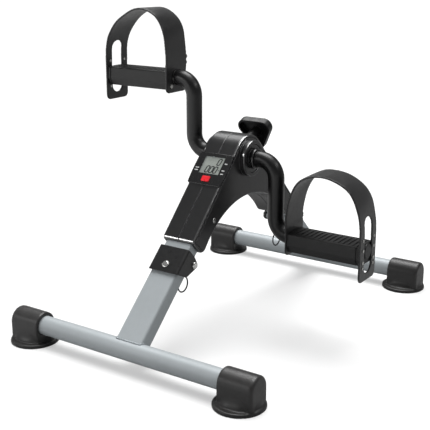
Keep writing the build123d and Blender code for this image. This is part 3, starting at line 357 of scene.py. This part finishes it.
# piece name patterns of each material; everything else is plain steel
PIECE_PATTERNS = {
    "frame": ("upper_frame", "*lower_post", "*base_tube", "*hinge_sleeve"),
    "crank": ("crank_tube",),
    "black_steel": ("*bracket", "*pin_barrel"),
    "housing": ("*housing",),
    "boss": ("boss_caps", "magnet_collar", "reed_sensor", "sensor_lead"),
    "gloss": ("console_case", "console_back"),
    "knob": ("tension_knob",),
    "pedal": ("*pedal_body", "*end_cap"),
    "strap": ("*strap",),
    "foot": ("*foot",),
    "chrome": ("housing_screws", "hinge_bolts", "hinge_nuts", "lock_strikers"),
    "rivet": ("*strap_screws",),
    "ring": ("*pull_ring",),
    "nylon": ("*bushes", "brake_shoe"),
    "lcd": ("lcd_panel",),
    "clear": ("console_lens",),
    "board": ("console_board",),
    "red": ("reset_button",),
}


def material_for(piece_name):
    for material, patterns in PIECE_PATTERNS.items():
        if any(fnmatchcase(piece_name, pattern) for pattern in patterns):
            return material
    return "steel"


def dress(piece, material):
    piece.data.materials.clear()
    piece.data.materials.append(MATERIALS[material])


def shade_smooth(mesh):
    mesh.polygons.foreach_set("use_smooth", [True] * len(mesh.polygons))


for piece_name, piece in pieces.items():
    dress(piece, material_for(piece_name))
    shade_smooth(piece.data)


def add_piece(name, points, faces, body, material, smooth=False):
    """New mesh that rides on a body of the machine."""
    mesh = bpy.data.meshes.new(name)
    mesh.from_pydata([tuple(point) for point in points], [], faces)
    mesh.validate()
    mesh.update()
    piece = bpy.data.objects.new(name, mesh)
    scene.collection.objects.link(piece)
    dress(piece, material)
    if smooth:
        shade_smooth(mesh)
    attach(piece, body)


# ------------------------------------------------------------- console print
# The panel rises from its low edge along a tangent to a circle about (y 0, z 0.225).
PANEL_LOW = Vector((0, -0.1309, 0.1412))
CIRCLE_RADIUS = 0.036
run, rise = 0.1309, 0.225 - 0.1412
panel_angle = math.atan2(rise, run) + math.asin(CIRCLE_RADIUS / math.hypot(run, rise))
PANEL_UP = Vector((0, math.cos(panel_angle), math.sin(panel_angle)))
PANEL_OUT = Vector((0, -math.sin(panel_angle), math.cos(panel_angle)))

# LCD figures, mm
FIGURE_WIDTH = 4.5
STROKE = 1.55
CORNER_GAP = 0.05
SLANT = 0.14
ZEROS = (  # centre across, centre up the slope, height
    (8.4, 121.6, 9.4),
    (-5.6, 109.2, 9.8), (0.9, 109.2, 9.8), (7.2, 109.2, 9.8),
)
SMALL_DASH = [(11.4, 108.5), (13.9, 108.5), (14.0, 109.5), (11.5, 109.5)]

# Printed bars beside the display, mm
BAR_HEIGHT = 1.5
BARS = (  # left end, right end, distances up the slope
    (-23.6, -18.0, (105.2, 108.9)),
    (18.2, 22.6, (103.8, 108.9, 119.6)),
)


def on_panel(across, up_slope, out):
    """Point from millimetres across, up and out of the panel."""
    offset = PANEL_UP * (up_slope / 1000)
    return Vector((across / 1000, 0, 0)) + PANEL_LOW + offset + PANEL_OUT * (out / 1000)


def print_shapes(name, outlines, bottom, top, material):
    """Thin raised shapes on the panel, one per closed outline (across, up the slope)."""
    points, faces = [], []
    for outline in outlines:
        count, start = len(outline), len(points)
        turns = zip(outline, outline[1:] + outline[:1])
        if sum(x0 * y1 - x1 * y0 for (x0, y0), (x1, y1) in turns) < 0:
            outline = outline[::-1]
        for out in (bottom, top):
            points += [on_panel(x, y, out) for x, y in outline]
        faces.append([start + count + i for i in range(count)])
        faces.append([start + count - 1 - i for i in range(count)])
        for i in range(count):
            j = (i + 1) % count
            faces.append([start + i, start + j, start + count + j, start + count + i])
    add_piece(name, points, faces, "root", material)


def stroke(half_length):
    """Mitred bar as (along, aside) points."""
    half = STROKE / 2
    tip = half_length - CORNER_GAP
    shoulder = tip - half
    return [
        (-tip, 0), (-shoulder, half), (shoulder, half),
        (tip, 0), (shoulder, -half), (-shoulder, -half),
    ]


def zero_figure(centre_x, centre_y, height):
    """Slanted LCD zero: top and bottom strokes, then the two full-height sides."""
    half_width, half_height = FIGURE_WIDTH / 2, height / 2
    flat, tall = stroke(half_width), stroke(half_height)
    strokes = [[(along, y + aside) for along, aside in flat] for y in (half_height, -half_height)]
    strokes += [[(x - aside, along) for along, aside in tall] for x in (-half_width, half_width)]
    return [[(centre_x + x + SLANT * y, centre_y + y) for x, y in bar] for bar in strokes]


def rounded_bar(left, right, up_slope):
    radius = BAR_HEIGHT / 2
    outline = []
    for centre, first_angle in ((right - radius, -90), (left + radius, 90)):
        for k in range(7):
            angle = math.radians(first_angle + 30 * k)
            x = centre + radius * math.cos(angle)
            outline.append((x, up_slope + radius * math.sin(angle)))
    return outline


figures = [bar for zero in ZEROS for bar in zero_figure(*zero)] + [SMALL_DASH]
print_shapes("lcd_digits", figures, bottom=0.555, top=0.60, material="ink")
bars = [rounded_bar(left, right, y) for left, right, heights in BARS for y in heights]
print_shapes("panel_marks", bars, bottom=2.0, top=2.03, material="print")


# ---------------------------------------------------- softened replacements
def open_copy(piece_name, merge_distance):
    """Copy of a piece's mesh, and a bmesh of it with close points merged."""
    mesh = pieces[piece_name].data.copy()
    bm = bmesh.new()
    bm.from_mesh(mesh)
    bmesh.ops.remove_doubles(bm, verts=bm.verts, dist=merge_distance)
    return mesh, bm


def soften(name, mesh, bm, voxel, passes):
    """Object of the bmesh after a voxel remesh and smoothing, and its points as an array."""
    bm.to_mesh(mesh)
    bm.free()
    piece = bpy.data.objects.new(name, mesh)
    scene.collection.objects.link(piece)
    remesh = piece.modifiers.new("remesh", "REMESH")
    remesh.mode, remesh.voxel_size = "VOXEL", voxel
    smooth = piece.modifiers.new("smooth", "SMOOTH")
    smooth.factor, smooth.iterations = 0.5, passes
    depsgraph = bpy.context.evaluated_depsgraph_get()
    softened = bpy.data.meshes.new_from_object(piece.evaluated_get(depsgraph))
    piece.modifiers.clear()
    piece.data = softened
    points = np.empty(len(softened.vertices) * 3)
    softened.vertices.foreach_get("co", points)
    return piece, points.reshape(-1, 3)


def put_in_place(piece, points, replaced, body, material):
    """Give the piece its points, kept inside the box of the one it replaces."""
    low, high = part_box(replaced)
    points = np.clip(points, np.array(low), np.array(high))
    piece.data.vertices.foreach_set("co", points.ravel())
    shade_smooth(piece.data)
    piece.data.update()
    dress(piece, material)
    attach(piece, body)
    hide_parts(replaced)


# ---------------------------------------------------------------------- feet
SKIRT_POINTS = 48
SKIRT = (  # mm: height, half length in x, half width in y, centre in x
    (3.0, 28.6, 25.5, 163.2),
    (6.0, 26.4, 22.4, 164.2),
    (9.0, 25.0, 20.2, 164.9),
    (12.0, 24.1, 18.8, 165.3),
    (16.0, 23.6, 17.9, 165.4),
)
SKIRT_LOW, SKIRT_HIGH = SKIRT[0][0], SKIRT[-1][0]


def add_skirt(bm, x_sign, y_sign):
    """Stacked superellipses, squarer towards the top, from floor disc to cap."""
    rings = []
    for height, half_x, half_y, centre in SKIRT:
        power = 2.0 + 1.6 * (height - SKIRT_LOW) / (SKIRT_HIGH - SKIRT_LOW)
        ring = []
        for k in range(SKIRT_POINTS):
            angle = 2 * math.pi * k / SKIRT_POINTS
            c, s = math.cos(angle), math.sin(angle)
            reach = (abs(c) ** power + abs(s) ** power) ** (-1 / power)
            x = x_sign * (centre + half_x * reach * c) / 1000
            y = y_sign * BASE_TUBE_Y / 1000 + half_y * reach * s / 1000
            ring.append(bm.verts.new((x, y, height / 1000)))
        rings.append(ring)
    for lower, upper in zip(rings, rings[1:]):
        for k in range(SKIRT_POINTS):
            after = (k + 1) % SKIRT_POINTS
            bm.faces.new((lower[k], lower[after], upper[after], upper[k]))
    bm.faces.new(rings[0][::-1])
    bm.faces.new(rings[-1])
    bmesh.ops.recalc_face_normals(bm, faces=bm.faces)


def foot(end, y_sign, side, x_sign):
    """Rubber cap, floor disc and skirt as one soft moulding with a flat sole."""
    replaced = f"{end}_{side}_foot"
    mesh, bm = open_copy(replaced, merge_distance=0.00002)
    add_skirt(bm, x_sign, y_sign)
    piece, points = soften(replaced + "_moulded", mesh, bm, voxel=0.0011, passes=7)
    points[:, 2] = np.where(points[:, 2] < 0.0009, 0.0, points[:, 2])
    put_in_place(piece, points, replaced, f"{end}_leg", "foot")


for end, y_sign in ENDS:
    for side, x_sign in SIDES:
        foot(end, y_sign, side, x_sign)


# -------------------------------------------------------------------- straps
PEDAL_X = 0.151
STRAP_HALF_WIDTH = 0.023
FREE_START, FREE_BLEND = 0.030, 0.035  # height above the spindle where the arch comes free
EDGE_DROP = 0.0007  # how far the bowed section falls at its edges
STRAP_BULGES = {  # angle about the spindle and spread in degrees, push outwards
    "left": ((55, 18, 0.0034), (118, 24, -0.0026)),
    "right": ((69, 17, 0.0040), (113, 14, 0.0012)),
}


def strap(side, x_sign):
    """Flexible band: rounded edges, a bowed section and a gentle unevenness."""
    replaced = side + "_strap"
    spindle_low, spindle_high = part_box(side + "_spindle")
    spindle_z = (spindle_low[2] + spindle_high[2]) / 2
    mesh, bm = open_copy(replaced, merge_distance=0.00001)
    piece, points = soften(replaced + "_band", mesh, bm, voxel=0.00062, passes=4)
    x, y, z = points[:, 0], points[:, 1], points[:, 2]
    # only the free arch moves; the plates stay where the pedal holds them
    free = np.clip((z - spindle_z - FREE_START) / FREE_BLEND, 0, 1)
    free = free * free * (3 - 2 * free)
    from_x, from_z = x - x_sign * PEDAL_X, z - spindle_z
    radius = np.hypot(from_x, from_z) + 1e-9
    angle = np.arctan2(from_z, from_x)
    bow = -EDGE_DROP * (y / STRAP_HALF_WIDTH) ** 2
    long_wave = 0.00035 * np.sin(angle * 7 + y * 60)
    short_wave = 0.00022 * np.sin(angle * 15 + 1.3 - y * 90)
    push = free * (bow + (long_wave + short_wave))
    # each band has its own lasting bulges
    for centre, spread, amount in STRAP_BULGES[side]:
        push = push + free * amount * np.exp(-(((np.degrees(angle) - centre) / spread) ** 2))
    points[:, 0] = x + push * from_x / radius
    points[:, 2] = z + push * from_z / radius
    put_in_place(piece, points, replaced, side + "_pedal", "strap")


for side, x_sign in SIDES:
    strap(side, x_sign)


# ---------------------------------------------------------------- weld beads
# mm
POST_HALF_WIDTH, POST_HALF_DEPTH, POST_CORNER = 20.0, 10.0, 3.0
POST_ANGLE = math.radians(43.31)  # rise of the posts from the floor
BASE_TUBE_Z, BASE_TUBE_RADIUS = 25.4, 12.7
BEAD_RADIUS = 1.35
BEAD_LIFT = 0.3
BEAD_STEP = 0.8  # longest advance aimed at along the straights
BEAD_SIDES = 8


def post_outline():
    """Rounded rectangle of the post, filled in with points along its straights."""
    x, y = POST_HALF_WIDTH - POST_CORNER, POST_HALF_DEPTH - POST_CORNER
    corners = []
    for centre_x, centre_y, start in ((x, y, 0), (-x, y, 90), (-x, -y, 180), (x, -y, 270)):
        for k in range(6):
            angle = math.radians(start + 18 * k)
            corners.append((
                centre_x + POST_CORNER * math.cos(angle),
                centre_y + POST_CORNER * math.sin(angle),
            ))
    outline = []
    for (x0, y0), (x1, y1) in zip(corners, corners[1:] + corners[:1]):
        steps = max(1, int(math.hypot(x1 - x0, y1 - y0) / BEAD_STEP))
        for k in range(steps):
            outline.append((x0 + (x1 - x0) * k / steps, y0 + (y1 - y0) * k / steps))
    return outline


def weld_bead(end, y_sign):
    """Rippled bead where the box post meets the round floor tube."""
    cosine, sine = math.cos(POST_ANGLE), math.sin(POST_ANGLE)
    along_post = Vector((0, -y_sign * cosine, sine))
    across_post = Vector((0, -y_sign * sine, -cosine))
    tube = Vector((0, y_sign * BASE_TUBE_Y, BASE_TUBE_Z))
    outline = post_outline()
    count = len(outline)
    points, faces = [], []
    for i, (x, depth) in enumerate(outline):
        reach = math.sqrt(BASE_TUBE_RADIUS**2 - depth * depth) + BEAD_LIFT
        centre = Vector((x, 0, 0)) + tube + along_post * reach + across_post * depth
        after, before = outline[(i + 1) % count], outline[i - 1]
        step_x, step_depth = after[0] - before[0], after[1] - before[1]
        length = math.hypot(step_x, step_depth)
        outward = Vector((step_depth / length, 0, 0)) + across_post * (-step_x / length)
        radius = BEAD_RADIUS + 0.22 * math.sin(i * 1.3) + 0.1 * math.sin(i * 0.37)
        for k in range(BEAD_SIDES):
            angle = 2 * math.pi * k / BEAD_SIDES
            aside = outward * (radius * math.cos(angle))
            points.append((centre + aside + along_post * (radius * math.sin(angle))) / 1000)
    for i in range(count):
        this, following = i * BEAD_SIDES, (i + 1) % count * BEAD_SIDES
        for k in range(BEAD_SIDES):
            j = (k + 1) % BEAD_SIDES
            faces.append((this + k, this + j, following + j, following + k))
    add_piece(f"{end}_weld_bead", points, faces, f"{end}_leg", "weld", smooth=True)


for end, y_sign in ENDS:
    weld_bead(end, y_sign)


# --------------------------------------------------------------------- stage
FLOOR_HALF, FLOOR_Z = 40, -0.0002
WORLD_STOPS = (  # position from the horizon (0) to overhead (1), grey level
    (0.0, 0.40), (0.15, 0.30), (0.35, 0.12), (0.7, 0.16), (0.9, 0.55), (1.0, 0.8),
)
LIGHT_TARGET = Vector((0, 0, 0.22))
# name, radiance, width, height, direction from the target, distance
KICKERS = (
    ("rim_kicker", 15.0, 1.5, 0.75, (0.55, 0.36, 0.72), 1.8),
    ("low_kicker", 18.0, 0.6, 0.6, (-0.54, -0.78, 0.30), 1.8),
)
SOFTBOXES = (
    ("back_left_box", 5.5, 0.7, 0.55, (-0.54, 0.42, 0.73), 1.8),
    ("right_strip", 9.0, 1.5, 0.12, (0.66, 0.16, 0.66), 1.8),
    ("front_low_box", 6.0, 0.5, 0.22, (-0.54, -0.78, 0.30), 1.8),
    ("front_wash", 0.9, 1.6, 0.8, (-0.45, -0.88, 0.22), 2.2),
    ("left_strip", 3.0, 0.16, 1.0, (-0.93, -0.25, 0.3), 1.8),
)


def floor_material():
    """Bright, even white to the camera; uneven bounce light to everything else."""
    material = bpy.data.materials.new("floor_white")
    s = Shader(material)
    is_camera = s.node("LightPath").outputs["Is Camera Ray"]
    # bounce light comes mostly from the floor in front and to the left
    towards_front_left = s.dot(s.position, (-0.6, -0.8, 0))
    bounce = s.remap(towards_front_left, span=(0.15, 0.9), to=(0.36, 0.86))
    bounce_colour = s.mix(bounce, (0, 0, 0, 1), (1, 1, 1, 1))
    colour = s.mix(is_camera, bounce_colour, (0.55, 0.55, 0.55, 1))
    diffuse = s.node("BsdfDiffuse", {"Color": colour}).outputs[0]
    glow = s.node("Emission", {"Strength": 0.42}).outputs[0]
    lit = s.node("AddShader", {0: diffuse, 1: glow}).outputs[0]
    s.finish(s.node("MixShader", {0: is_camera, 1: diffuse, 2: lit}))
    return material


def add_floor():
    mesh = bpy.data.meshes.new("floor")
    corners = ((-1, -1), (1, -1), (1, 1), (-1, 1))
    points = [(x * FLOOR_HALF, y * FLOOR_HALF, FLOOR_Z) for x, y in corners]
    mesh.from_pydata(points, [], [(0, 1, 2, 3)])
    floor = bpy.data.objects.new("floor", mesh)
    scene.collection.objects.link(floor)
    mesh.materials.append(floor_material())


def add_world():
    """Grey studio gradient for the lighting, plain white to the camera."""
    world = bpy.data.worlds.new("studio")
    scene.world = world
    s = Shader(world, output="OutputWorld", coordinates="Generated")
    gradient = s.node("ValToRGB", {0: s.axes(s.position)["Z"]})
    elements = gradient.color_ramp.elements
    for element, (place, grey) in zip(elements, (WORLD_STOPS[0], WORLD_STOPS[-1])):
        element.position, element.color = place, (grey, grey, grey, 1)
    for place, grey in WORLD_STOPS[1:-1]:
        elements.new(place).color = (grey, grey, grey, 1)
    is_camera = s.node("LightPath").outputs["Is Camera Ray"]
    colour = s.mix(is_camera, gradient.outputs[0], (1, 1, 1, 1))
    s.finish(s.node("Background", {"Color": colour}))


def add_light(light, heading):
    lamp = bpy.data.objects.new(light.name, light)
    scene.collection.objects.link(lamp)
    lamp.rotation_mode = "QUATERNION"
    lamp.rotation_quaternion = heading.to_track_quat("-Z", "Y")
    return lamp


def add_sun():
    light = bpy.data.lights.new("top_sun", "SUN")
    light.energy, light.angle = 2.8, math.radians(42)
    add_light(light, Vector((0.13, -0.26, -1)))


def add_softbox(name, radiance, width, height, direction, distance):
    """Rectangular light whose power follows from its radiance and area."""
    light = bpy.data.lights.new(name, "AREA")
    light.shape, light.size, light.size_y = "RECTANGLE", width, height
    light.energy = radiance * math.pi * width * height
    outward = Vector(direction).normalized()
    lamp = add_light(light, -outward)
    lamp.location = LIGHT_TARGET + outward * distance
    return lamp


def add_kicker(*softbox):
    """Softbox that gives reflections on the two housings only."""
    lamp = add_softbox(*softbox)
    targets = bpy.data.collections.new(lamp.name + "_targets")
    for side, _ in SIDES:
        targets.objects.link(pieces[side + "_housing"])
    lamp.light_linking.receiver_collection = targets
    lamp.visible_diffuse = False


add_floor()
add_world()
for kicker in KICKERS:
    add_kicker(*kicker)
add_sun()
for softbox in SOFTBOXES:
    add_softbox(*softbox)


# -------------------------------------------------------------------- camera
CAMERA_PLACE = (0.66761, -1.02042, 0.49739)
CAMERA_TURN = math.radians(34.4)  # about z, from looking straight at the front
CAMERA_ELEVATION = math.radians(16.17)
CAMERA_LENS, CAMERA_SENSOR = 75.8930233, 36.0  # mm


def add_camera():
    turn, elevation = CAMERA_TURN, CAMERA_ELEVATION
    right = Vector((math.cos(turn), math.sin(turn), 0))
    back = Vector((
        math.sin(turn) * math.cos(elevation),
        -math.cos(turn) * math.cos(elevation),
        math.sin(elevation),
    ))
    up = back.cross(right)
    lens = bpy.data.cameras.new("camera")
    lens.sensor_width, lens.lens = CAMERA_SENSOR, CAMERA_LENS
    lens.clip_start, lens.clip_end = 0.01, 200
    camera = bpy.data.objects.new("camera", lens)
    scene.collection.objects.link(camera)
    camera.rotation_mode = "QUATERNION"
    camera.rotation_quaternion = Matrix((right, up, back)).transposed().to_quaternion()
    camera.location = CAMERA_PLACE
    scene.camera = camera


add_camera()
scene.view_settings.view_transform = "Standard"
